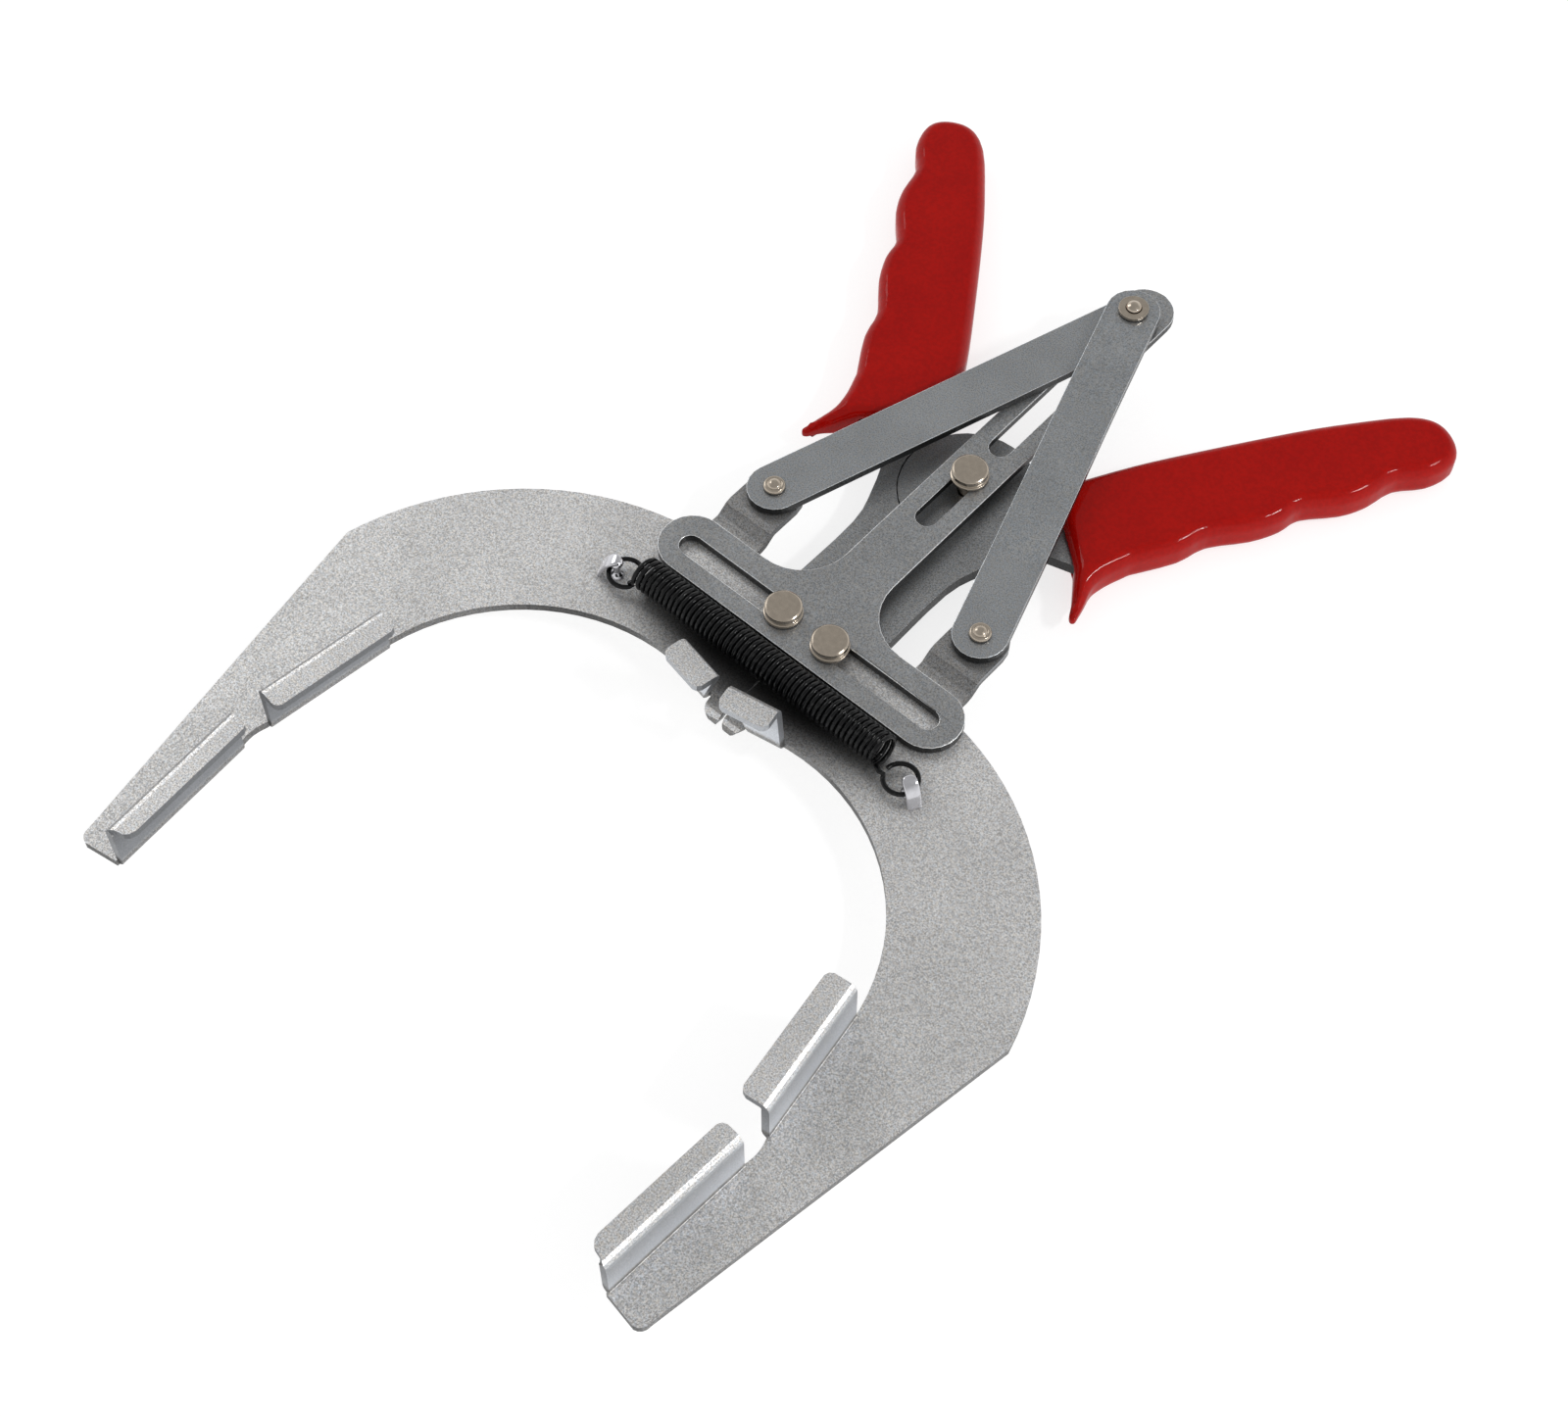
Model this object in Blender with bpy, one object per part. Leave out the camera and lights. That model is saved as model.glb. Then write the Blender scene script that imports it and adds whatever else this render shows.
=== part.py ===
"""Piston ring expander for rings of 110 to 160 mm, closed at rest.

Two sickle-shaped jaws lie side by side under a T-shaped guide plate.  Each jaw hangs on a stud that
slides in the guide's crossbar.  A pair of plier levers below pushes the studs apart when the red
grips are squeezed, two links join the jaws to a rivet in the guide's long slot, and a spring on top
pulls the jaws together.

Lengths are in millimetres and are measured from the middle of the crossbar on the guide plate's
top face.  +X is to the right, the grips point along +Y, the jaw tips along -Y and the stud heads
up.  When an object is made, its place is shifted so that the world origin is the middle of the
pivot stud's flat head, and the lengths become metres.
"""
import math

import bmesh
import bpy
from mathutils import Vector
from mathutils.geometry import tessellate_polygon

MM = 0.001
GAP = 0.3

# Levels of the stacked sheets: the guide's top face is zero.
GUIDE_T = 2.0
JAW_TOP = -GUIDE_T - GAP
JAW_T = 2.0
JAW_BOTTOM = JAW_TOP - JAW_T
LEVER_TOP = JAW_BOTTOM - GAP
LEVER_T = 3.0
LEVER_BOTTOM = LEVER_TOP - LEVER_T
LEVER_MID = (LEVER_TOP + LEVER_BOTTOM) / 2
LINK_BOTTOM = GAP
LINK_T = 2.0
UPPER_LINK_LIFT = LINK_T + GAP

# Where the moving pieces turn, with the jaws closed.
STUD_X = 6.4
PIVOT_Y = 52.9
LINK_RIVET = (28.3, 21.8)
APEX_Y = 109.4

# Shanks and holes.
SHANK_R = 2.2
STUD_HEAD_R = 4.0
STUD_HEAD_TOP = 2.9
BORE_R = 2.5
LEVER_END_BORE_R = 3.9
SLOT_R = 2.5
RIVET_R = 1.5
RIVET_BORE_R = 1.8
APEX_PLAY_BORE_R = 2.5

# The world origin: the middle of the pivot stud's head.
ORIGIN = (0.0, PIVOT_Y, STUD_HEAD_TOP)

# Guide plate.
BAR_END_X = 32.5
BAR_HALF = 7.4
BAR_Y = 0.5
STEM_HALF = 6.5
STEM_END_Y = 114.5
STEM_FILLET = 12.0
LOWER_SLOT_Y = (38.7, 53.4)
UPPER_SLOT_Y = (63.3, 114.0)

# Jaws.
JAW_OUTER = (26.8, -60.6, 65.6)
JAW_INNER = (19.5, -67.6, 45.6)
JAW_SHOULDER = (90.9, -44.8)
JAW_TIP = (76.3, -130.0)
TIP_CORNER_R = 2.4
BLADE_END_X = 19.0
BOSS_BACK_Y = -23.8
MOUTH_START = (14.6, -22.2)
NOTCH_DEPTH = 0.5
TAB_T = 1.8
TAB_TOP = 10.2
MIDDLE_TAB = ((64.4, -58.8), (68.4, -88.1), 6.6)
TIP_TAB = ((68.9, -95.5), (66.9, -129.6), 5.6)
CENTRE_TAB = ((1.5, -24.3), (12.8, -22.2), 6.2)
ARM_HALF = 6.35
LUG = (40.0, -14.7)
LUG_NECK_R = 0.7

# Levers and grips.
LEVER_END_R = 6.2
BOSS_R = 15.3
BOSS_RECESS_R = 15.6
GRIP_ORIGIN = (27.0, 58.0)
GRIP_ALONG = (0.5127, 0.8586)
GRIP_HALF_T = 4.5

# Spring.
SPRING_Y = -12.5
SPRING_X = (-34.0, 32.0)
COIL_R = 3.3
WIRE_R = 0.5
SPRING_Z = JAW_TOP + GAP + COIL_R + WIRE_R
TURNS = 52

ROUND = 20


# ---- outlines -------------------------------------------------------------------------------

def arc(centre_x, centre_y, radius, start, end, steps):
    """Points of a circular arc from the start angle to the end angle, in degrees."""
    points = []
    for step in range(steps + 1):
        angle = math.radians(start + (end - start) * step / steps)
        points.append((centre_x + radius * math.cos(angle), centre_y + radius * math.sin(angle)))
    return points


def angle_at(centre_x, centre_y, point):
    return math.degrees(math.atan2(point[1] - centre_y, point[0] - centre_x))


def circle(centre, radius, sides=ROUND):
    return arc(centre[0], centre[1], radius, 0, 360, sides)[:-1]


def slot(start, end, radius):
    """A round-ended slot between two end centres."""
    lean = math.degrees(math.atan2(end[1] - start[1], end[0] - start[0]))
    points = arc(end[0], end[1], radius, lean - 90, lean + 90, 8)
    return points + arc(start[0], start[1], radius, lean + 90, lean + 270, 8)


def smooth(points, steps, closed=False):
    """Points of a Catmull-Rom curve through the given points."""
    count = len(points)
    curve = []
    for index in range(count if closed else count - 1):
        if closed:
            around = [points[(index + shift) % count] for shift in (-1, 0, 1, 2)]
        else:
            around = [points[min(max(index + shift, 0), count - 1)] for shift in (-1, 0, 1, 2)]
        before, here, there, after = [Vector(point) for point in around]
        for step in range(steps):
            t = step / steps
            place = 0.5 * (2 * here + (there - before) * t
                           + (2 * before - 5 * here + 4 * there - after) * t * t
                           + (3 * here - before - 3 * there + after) * t ** 3)
            curve.append(tuple(place))
    if not closed:
        curve.append(tuple(points[-1]))
    return curve


def mirrored(points, side):
    """The outline on the right (side 1) or its mirror image on the left (side -1)."""
    flipped = [(side * point[0], point[1]) for point in points]
    return flipped if side > 0 else flipped[::-1]


# ---- solids ---------------------------------------------------------------------------------

def prism(outline, bottom, top, holes=()):
    """Vertices and faces of a flat plate with straight sides and through holes."""
    loops = [list(outline)] + [list(hole) for hole in holes]
    flat = [[Vector((x, y, 0.0)) for x, y in loop] for loop in loops]
    corners = [point for loop in loops for point in loop]
    count = len(corners)
    verts = [(x, y, bottom) for x, y in corners] + [(x, y, top) for x, y in corners]
    faces = []
    for triangle in tessellate_polygon(flat):
        faces.append(tuple(triangle))
        faces.append(tuple(index + count for index in reversed(triangle)))
    first = 0
    for loop in loops:
        size = len(loop)
        for step in range(size):
            here = first + step
            there = first + (step + 1) % size
            faces.append((here, there, there + count, here + count))
        first += size
    return verts, faces


def lathe(profile, centre, sides=ROUND):
    """A turned solid; the profile runs from the axis on top down to the axis underneath."""
    verts = [(centre[0], centre[1], profile[0][1])]
    for radius, height in profile[1:-1]:
        verts += [(x, y, height) for x, y in circle(centre, radius, sides)]
    verts.append((centre[0], centre[1], profile[-1][1]))
    last = len(verts) - 1
    faces = []
    for step in range(sides):
        after = (step + 1) % sides
        faces.append((0, 1 + step, 1 + after))
        for row in range(len(profile) - 3):
            upper = 1 + row * sides
            lower = upper + sides
            faces.append((upper + step, lower + step, lower + after, upper + after))
        final = last - sides
        faces.append((last, final + after, final + step))
    return verts, faces


def ring(centre, inner, outer, bottom, top):
    """A flat washer."""
    return prism(circle(centre, outer), bottom, top, [circle(centre, inner)])


def sheet_strip(path, thickness, ends, place):
    """A strip of sheet metal bent along a path.

    The path holds (across, height) points of the middle of the sheet, ends gives the two ends of
    the strip at each of them, and place turns (along, across, height) into a point.
    """
    verts = []
    for index, (across, height) in enumerate(path):
        before = path[max(index - 1, 0)]
        after = path[min(index + 1, len(path) - 1)]
        run = Vector((after[0] - before[0], after[1] - before[1])).normalized()
        side = Vector((-run.y, run.x)) * thickness / 2
        start, end = ends[index]
        for along in (start, end):
            verts.append(place(along, across + side.x, height + side.y))
            verts.append(place(along, across - side.x, height - side.y))
    faces = []
    for index in range(len(path) - 1):
        here = 4 * index
        there = here + 4
        faces.append((here, here + 1, there + 1, there))
        faces.append((here + 2, there + 2, there + 3, here + 3))
        faces.append((here, there, there + 2, here + 2))
        faces.append((here + 1, here + 3, there + 3, there + 1))
    last = 4 * (len(path) - 1)
    faces.append((0, 2, 3, 1))
    faces.append((last, last + 1, last + 3, last + 2))
    return verts, faces


def swept_wire(path, radius, sides=4):
    """A round wire along a path of 3-D points, with closed ends."""
    points = [Vector(point) for point in path]
    verts = []
    across = Vector((0.0, 0.0, 1.0))
    for index, point in enumerate(points):
        run = (points[min(index + 1, len(points) - 1)] - points[max(index - 1, 0)]).normalized()
        across = (across - run * across.dot(run)).normalized()
        other = run.cross(across)
        for step in range(sides):
            angle = 2 * math.pi * (step + 0.5) / sides
            verts.append(point + radius * (across * math.cos(angle) + other * math.sin(angle)))
    faces = []
    for index in range(len(points) - 1):
        for step in range(sides):
            here = index * sides
            after = (step + 1) % sides
            faces.append((here + step, here + after, here + sides + after, here + sides + step))
    faces.append(tuple(range(sides - 1, -1, -1)))
    last = (len(points) - 1) * sides
    faces.append(tuple(range(last, last + sides)))
    return verts, faces


# ---- objects --------------------------------------------------------------------------------

def material(name, colour, metallic, roughness):
    made = bpy.data.materials.new(name)
    made.use_nodes = True
    shader = made.node_tree.nodes["Principled BSDF"]
    shader.inputs["Base Color"].default_value = (*colour, 1.0)
    shader.inputs["Metallic"].default_value = metallic
    shader.inputs["Roughness"].default_value = roughness
    return made


def add_object(name, solid, surface, origin=(0.0, 0.0, 0.0)):
    """A scene object from vertices and faces in millimetres, with its origin at the given point."""
    verts, faces = solid
    base = Vector(origin)
    mesh = bpy.data.meshes.new(name)
    mesh.from_pydata([(Vector(vert) - base) * MM for vert in verts], [], faces)
    work = bmesh.new()
    work.from_mesh(mesh)
    bmesh.ops.remove_doubles(work, verts=work.verts, dist=0.00001)
    bmesh.ops.triangulate(work, faces=work.faces)
    bmesh.ops.recalc_face_normals(work, faces=work.faces)
    work.to_mesh(mesh)
    work.free()
    made = bpy.data.objects.new(name, mesh)
    made.location = (base - Vector(ORIGIN)) * MM
    bpy.context.scene.collection.objects.link(made)
    mesh.materials.append(surface)
    mesh.set_sharp_from_angle(angle=math.radians(35))
    return made


def combine(target, solid, operation, label):
    """Adds a solid to the target object or cuts it away."""
    tool = add_object(f"{target.name}_{label}", solid, target.data.materials[0])
    tool.hide_render = True
    tool.display_type = "WIRE"
    step = target.modifiers.new(label, "BOOLEAN")
    step.operation = operation
    step.solver = "EXACT"
    step.object = tool


def settle(target):
    """Turns the target's Booleans into plain mesh and removes the tools."""
    tools = [step.object for step in target.modifiers]
    graph = bpy.context.evaluated_depsgraph_get()
    solid = bpy.data.meshes.new_from_object(target.evaluated_get(graph))
    target.modifiers.clear()
    target.data = solid
    work = bmesh.new()
    work.from_mesh(solid)
    bmesh.ops.remove_doubles(work, verts=work.verts, dist=0.000001)
    bmesh.ops.dissolve_degenerate(work, edges=work.edges, dist=0.000001)
    bmesh.ops.triangulate(work, faces=work.faces)
    work.to_mesh(solid)
    work.free()
    for tool in tools:
        bpy.data.objects.remove(tool)
    return target


# ---- guide plate ----------------------------------------------------------------------------

def guide_outline():
    """The T: a round-ended crossbar and a long round-ended stem with filleted roots."""
    bar_top = BAR_Y + BAR_HALF
    fillet_x = STEM_HALF + STEM_FILLET
    right = arc(BAR_END_X, BAR_Y, BAR_HALF, -90, 90, 12)
    right += arc(fillet_x, bar_top + STEM_FILLET, STEM_FILLET, -90, -180, 8)
    right += arc(0, STEM_END_Y, STEM_HALF, 0, 90, 7)
    left = [(-x, y) for x, y in reversed(right[:-1])]
    return right + left


def guide_plate(steel):
    slots = [slot((0, low), (0, high), SLOT_R) for low, high in (LOWER_SLOT_Y, UPPER_SLOT_Y)]
    for side in (1, -1):
        slots.append(slot((side * STUD_X, 0), (side * BAR_END_X, 0), SLOT_R))
    return add_object("guide_plate", prism(guide_outline(), -GUIDE_T, 0, slots), steel)


# ---- jaws -----------------------------------------------------------------------------------

def edge_point(tab_line, distance):
    """A point of the jaw's edge under a tab, at a distance along it from the tab's start."""
    start, end = Vector(tab_line[0]), Vector(tab_line[1])
    along = (end - start).normalized()
    under_wall = 0.3
    return tuple(start + along * distance + Vector((along.y, -along.x)) * under_wall)


def tab_length(tab_line):
    return (Vector(tab_line[1]) - Vector(tab_line[0])).length


def notch(start, end, depth, steps=6):
    """The points between start and end of a rounded notch cut towards +X."""
    points = []
    for step in range(1, steps):
        share = step / steps
        middle = Vector(start).lerp(Vector(end), share)
        points.append((middle.x + depth * math.sin(math.pi * share), middle.y))
    return points


def jaw_outline():
    """The flat sickle of the right jaw."""
    outer_x, outer_y, outer_r = JAW_OUTER
    inner_x, inner_y, inner_r = JAW_INNER
    join = (BLADE_END_X, outer_y + math.sqrt(outer_r ** 2 - (BLADE_END_X - outer_x) ** 2))
    shoulder = angle_at(outer_x, outer_y, JAW_SHOULDER)
    blade = arc(outer_x, outer_y, outer_r, shoulder, angle_at(outer_x, outer_y, join), 22)
    boss = arc(STUD_X, 0, STUD_X - GAP / 2, 75, 180, 8)
    spare = 0.5
    centre = [(GAP / 2, BOSS_BACK_Y), edge_point(CENTRE_TAB, tab_length(CENTRE_TAB) + spare)]
    start = angle_at(inner_x, inner_y, MOUTH_START)
    end = angle_at(inner_x, inner_y, MIDDLE_TAB[0]) + 1.5
    mouth = arc(inner_x, inner_y, inner_r, start, end, 18)
    middle = [edge_point(MIDDLE_TAB, -spare), edge_point(MIDDLE_TAB, tab_length(MIDDLE_TAB) + spare)]
    tip_start = edge_point(TIP_TAB, -spare)
    between = notch(middle[1], tip_start, NOTCH_DEPTH)
    tip = [tip_start, edge_point(TIP_TAB, tab_length(TIP_TAB) + spare)]
    tip += arc(JAW_TIP[0] - TIP_CORNER_R, JAW_TIP[1] + 1.0, TIP_CORNER_R, -80, 5, 4)
    return blade + boss + centre + mouth + middle + between + tip


def tab(tab_line, side, base_shift=(0.0, 0.0), tip_cut=0.0):
    """A Z-shaped tab: a wall that rises from the jaw's edge and a flange over the ring.

    base_shift moves the two ends of the wall's foot along the edge, and tip_cut draws the
    flange's far end back.
    """
    start, end, reach = tab_line
    along = (Vector(end) - Vector(start)).normalized()
    length = (Vector(end) - Vector(start)).length
    inward = Vector((along.y, -along.x))
    half = TAB_T / 2
    radius = 1.3
    foot_z = (JAW_TOP + JAW_BOTTOM) / 2
    top_z = TAB_TOP - half
    corner = 1.4
    path = [(-1.5, foot_z)]
    path += arc(half - radius, foot_z + radius, radius, -90, 0, 3)
    path += arc(half + radius, top_z - radius, radius, 180, 90, 4)
    path += [(reach - corner, top_z), (reach - corner / 3, top_z), (reach, top_z)]
    rows = len(path)
    ends = []
    for row in range(rows):
        rise = min(max((path[row][1] - foot_z) / (top_z - foot_z), 0.0), 1.0)
        low = base_shift[0] * (1 - rise)
        high = length + base_shift[1] * (1 - rise)
        if row >= 8:
            drawn = tip_cut * (row - 7) / (rows - 8)
            high -= drawn
        if row == rows - 2:
            low += corner * 0.35
            high -= corner * 0.35
        if row == rows - 1:
            low += corner
            high -= corner
        ends.append((low, high))

    def place(distance, across, height):
        spot = Vector(start) + along * distance + inward * across
        return (side * spot.x, spot.y, height)

    return sheet_strip(path, TAB_T, ends, place)


def bracket(side):
    """The arm that leaves the jaw behind the crossbar and steps up to carry the link."""
    low = (JAW_TOP + JAW_BOTTOM) / 2
    high = -GUIDE_T / 2
    rivet_y = LINK_RIVET[1]
    path = [(0.5, low), (10.6, low), (11.6, low + 0.3), (13.9, high - 0.3), (14.9, high)]
    halves = [ARM_HALF] * len(path)
    for angle in (0, 20, 38, 54, 68, 80, 88):
        path.append((rivet_y + ARM_HALF * math.sin(math.radians(angle)), high))
        halves.append(ARM_HALF * math.cos(math.radians(angle)))
    ends = [(LINK_RIVET[0] - half, LINK_RIVET[0] + half) for half in halves]

    def place(distance, across, height):
        return (side * distance, across, height)

    return sheet_strip(path, GUIDE_T - 0.1, ends, place)


def claw(side):
    """The tongue at the middle whose bent-down tip catches the ring's end."""
    low = (JAW_TOP + JAW_BOTTOM) / 2
    path = [(-21.6, low), (-24.5, low), (-25.3, low - 0.25), (-25.8, low - 0.9), (-26.0, low - 1.7),
            (-26.1, low - 2.4)]
    ends = [(0.45, 4.9), (0.45, 4.9), (0.45, 4.8), (0.5, 4.4), (0.7, 3.7), (1.0, 3.0)]

    def place(distance, across, height):
        return (side * distance, across, height)

    return sheet_strip(path, TAB_T, ends, place)


def spring_lug(side):
    profile = [(0, 2.9), (0.9, 2.75), (1.4, 2.2), (1.3, 1.4), (LUG_NECK_R, 0.9), (LUG_NECK_R, -1.0),
               (1.3, -1.6), (1.6, -2.0), (1.6, JAW_TOP - 1.0), (0, JAW_TOP - 1.0)]
    return lathe(profile, (side * LUG[0], LUG[1]), 12)


def jaw(side, name, steel):
    pivot = (side * STUD_X, 0.0, 0.0)
    blade = prism(mirrored(jaw_outline(), side), JAW_BOTTOM, JAW_TOP)
    made = add_object(name, blade, steel, pivot)
    combine(made, tab(MIDDLE_TAB, side), "UNION", "middle_tab")
    combine(made, tab(TIP_TAB, side, tip_cut=2.0), "UNION", "tip_tab")
    combine(made, tab(CENTRE_TAB, side, base_shift=(4.6, 0.8)), "UNION", "centre_tab")
    combine(made, bracket(side), "UNION", "bracket")
    combine(made, claw(side), "UNION", "claw")
    combine(made, spring_lug(side), "UNION", "lug")
    stud_hole = prism(circle((side * STUD_X, 0), BORE_R), JAW_BOTTOM - 1, JAW_TOP + 1)
    combine(made, stud_hole, "DIFFERENCE", "stud_hole")
    rivet_spot = (side * LINK_RIVET[0], LINK_RIVET[1])
    rivet_hole = prism(circle(rivet_spot, RIVET_BORE_R, 12), -GUIDE_T - 1, 1)
    combine(made, rivet_hole, "DIFFERENCE", "rivet_hole")
    return settle(made)


# ---- levers and grips -----------------------------------------------------------------------

def grip_point(along, off):
    """A point beside the grip's long axis; off is positive on the finger side."""
    return (GRIP_ORIGIN[0] + along * GRIP_ALONG[0] + off * GRIP_ALONG[1],
            GRIP_ORIGIN[1] + along * GRIP_ALONG[1] - off * GRIP_ALONG[0])


def tang_outline(root, spare):
    """The part of the lever that lies inside the grip, widened by the given clearance.

    root gives the place along the grip where it starts and its two edges there.
    """
    start, upper, lower = root
    reach = 58 + spare
    return [grip_point(start, upper + spare), grip_point(6, 4.6 + spare), grip_point(reach, 1.5 + spare),
            grip_point(reach, -6.5 - spare), grip_point(6, -9.6 - spare), grip_point(start, lower - spare)]


def arm_outline():
    """The right lever below its grip: the end about the stud, the arm and the neck."""
    inner = GAP / 2
    arm = arc(STUD_X, 0, LEVER_END_R, 180, 360, 10)
    arm += smooth([(13.0, 12.0), (13.0, 30.0), (15.5, 39.0), (19.1, 46.6), (24.0, 50.6)], 3)
    arm += [grip_point(-3.2, 5.6), grip_point(-3.2, -9.6), (6.0, 64.5), (inner, 60.0)]
    return arm


def lever(side, name, steel):
    pivot = (0.0, PIVOT_Y, 0.0)
    made = add_object(name, prism(mirrored(arm_outline(), side), LEVER_BOTTOM, LEVER_TOP), steel, pivot)
    tang = prism(mirrored(tang_outline((-4.6, 3.9, -9.4), 0), side), LEVER_BOTTOM + 0.1, LEVER_TOP - 0.1)
    split = GAP / 2
    if side > 0:
        recess = (LEVER_BOTTOM - 1, LEVER_MID + split)
        boss = (LEVER_MID + split + 0.05, LEVER_TOP - 0.05)
    else:
        recess = (LEVER_MID - split, LEVER_TOP + 1)
        boss = (LEVER_BOTTOM + 0.05, LEVER_MID - split - 0.05)
    hub = (0.0, PIVOT_Y)
    combine(made, tang, "UNION", "tang")
    combine(made, prism(circle(hub, BOSS_RECESS_R, 40), *recess), "DIFFERENCE", "recess")
    combine(made, prism(circle(hub, BOSS_R, 36), *boss), "UNION", "boss")
    combine(made, prism(circle(hub, BORE_R), LEVER_BOTTOM - 1, LEVER_TOP + 1), "DIFFERENCE", "bore")
    end_bore = prism(circle((side * STUD_X, 0), LEVER_END_BORE_R), LEVER_BOTTOM - 1, LEVER_TOP + 1)
    combine(made, end_bore, "DIFFERENCE", "end_bore")
    return settle(made)


def grip_outline():
    """The moulded grip: guard, finger scallops, round end and smooth inner side."""
    guard = smooth([(38.2, 41.8), (37.2, 46.0), (36.0, 50.4), (36.6, 55.0), (38.6, 60.5)], 3)[:-1]
    fingers = [grip_point(8.0, 8.6), grip_point(19.0, 8.7), grip_point(26.3, 7.0),
               grip_point(36.0, 8.3), grip_point(43.0, 7.9), grip_point(48.2, 6.3),
               grip_point(57.0, 7.9), grip_point(63.5, 7.5), grip_point(70.6, 5.4),
               grip_point(78.0, 6.6), grip_point(84.4, 5.0), grip_point(86.8, 0.6),
               grip_point(85.6, -5.4), grip_point(79.8, -9.2), grip_point(66.9, -11.5),
               grip_point(53.7, -13.0), grip_point(31.2, -14.4), grip_point(17.8, -14.9),
               grip_point(4.8, -14.6)]
    mouth = [grip_point(0.0, -13.6), grip_point(-2.2, -8.0), grip_point(-4.2, 6.5), (35.0, 44.6),
             (36.6, 41.6), (37.6, 41.1)]
    return guard + smooth(fingers, 3) + mouth


def inset(outline, distance):
    """The outline drawn in by a distance, with sharp corners kept from shooting past."""
    count = len(outline)
    drawn = []
    for index in range(count):
        before = Vector(outline[index - 1])
        here = Vector(outline[index])
        after = Vector(outline[(index + 1) % count])
        first = (here - before).normalized()
        second = (after - here).normalized()
        normal = Vector((-first.y - second.y, first.x + second.x))
        spread = max(normal.length / 2, 0.5)
        drawn.append(tuple(here + normal.normalized() * distance / spread))
    return drawn


def grip_solid(side):
    """The grip's outline stacked in six levels so that its long edges are rounded."""
    rounding = [(1.9, 1.0), (0.7, 0.82), (0.0, 0.5)]
    levels = [(drawn_in, -share) for drawn_in, share in rounding] + rounding[::-1]
    levels = [(mirrored(inset(grip_outline(), drawn_in), side), GRIP_HALF_T * share)
              for drawn_in, share in levels]
    inner = levels[0][0]
    count = len(inner)
    verts = [(x, y, LEVER_MID + height) for loop, height in levels for x, y in loop]
    faces = []
    for row in range(len(levels) - 1):
        for step in range(count):
            here = row * count + step
            there = row * count + (step + 1) % count
            faces.append((here, there, there + count, here + count))
    top = (len(levels) - 1) * count
    for triangle in tessellate_polygon([[Vector((x, y, 0.0)) for x, y in inner]]):
        faces.append(tuple(triangle))
        faces.append(tuple(index + top for index in reversed(triangle)))
    return verts, faces


def grip(side, name, vinyl):
    made = add_object(name, grip_solid(side), vinyl, (0.0, PIVOT_Y, 0.0))
    socket = prism(mirrored(tang_outline((-9.0, 6.4, -10.4), GAP), side), LEVER_BOTTOM - 0.2, LEVER_TOP + 0.2)
    combine(made, socket, "DIFFERENCE", "socket")
    return settle(made)


# ---- links ----------------------------------------------------------------------------------

def link(side, name, steel):
    """A flat bar from a jaw's bracket to the apex; the right one rises over the left one."""
    foot = Vector(LINK_RIVET)
    apex = Vector((0.0, APEX_Y))
    run = (apex - foot).normalized()
    length = (apex - foot).length
    sideways = Vector((run.y, -run.x))
    half = 6.0
    lift = UPPER_LINK_LIFT if side > 0 else 0.0
    middle = LINK_BOTTOM + LINK_T / 2
    stations = [(-half * math.cos(math.radians(angle)), half * math.sin(math.radians(angle)))
                for angle in (4, 20, 38, 56, 74, 90)]
    stations += [(length * share, half) for share in (0.2, 0.32, 0.42, 0.52, 0.62, 0.74)]
    stations += [(length + half * math.cos(math.radians(angle)), half * math.sin(math.radians(angle)))
                 for angle in (90, 74, 56, 38, 20, 4)]
    path = []
    ends = []
    for place_along, width in stations:
        share = min(max((place_along / length - 0.2) / 0.54, 0.0), 1.0)
        path.append((place_along, middle + lift * share * share * (3 - 2 * share)))
        ends.append((-width, width))

    def place(across, along, height):
        spot = foot + run * along + sideways * across
        return (side * spot.x, spot.y, height)

    rivet_spot = (side * foot.x, foot.y)
    made = add_object(name, sheet_strip(path, LINK_T, ends, place), steel, (*rivet_spot, 0.0))
    combine(made, prism(circle(rivet_spot, RIVET_BORE_R, 12), -1, 6), "DIFFERENCE", "rivet_hole")
    apex_r = APEX_PLAY_BORE_R if side > 0 else RIVET_BORE_R
    combine(made, prism(circle((0, APEX_Y), apex_r, 12), -1, 6), "DIFFERENCE", "apex_hole")
    return settle(made)


# ---- studs, rivets and washers --------------------------------------------------------------

WASHER_TOP = LEVER_BOTTOM - GAP
WASHER_T = 0.8


def stud_profile(shoulder_r):
    """A flat-headed stud: bevelled head, groove, lower ring, shank and riveted-over foot."""
    foot = WASHER_TOP - WASHER_T - GAP
    head = [(0, STUD_HEAD_TOP), (3.6, STUD_HEAD_TOP), (STUD_HEAD_R, 2.55), (STUD_HEAD_R, 1.4),
            (3.6, 1.25), (3.6, 1.05), (4.2, 0.9), (4.2, GAP), (SHANK_R, GAP)]
    if shoulder_r:
        head += [(SHANK_R, -GUIDE_T - 0.2), (shoulder_r, -GUIDE_T - 0.2),
                 (shoulder_r, LEVER_TOP + 0.2), (SHANK_R, LEVER_TOP + 0.2)]
    return head + [(SHANK_R, foot), (3.3, foot), (3.0, foot - 0.7), (0, foot - 0.7)]


def stud(name, centre, steel, shoulder_r=0.0):
    return add_object(name, lathe(stud_profile(shoulder_r), centre), steel, (*centre, 0.0))


def stud_washer(name, centre, steel):
    disc = ring(centre, SHANK_R + GAP, 5.2, WASHER_TOP - WASHER_T, WASHER_TOP)
    return add_object(name, disc, steel, (*centre, 0.0))


RIVET_WASHER_TOP = -GUIDE_T - GAP
RIVET_WASHER_T = 0.6


def rivet_foot():
    foot = RIVET_WASHER_TOP - RIVET_WASHER_T - 0.2
    return [(RIVET_R, foot), (2.4, foot), (2.1, foot - 0.6), (0, foot - 0.6)]


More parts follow.
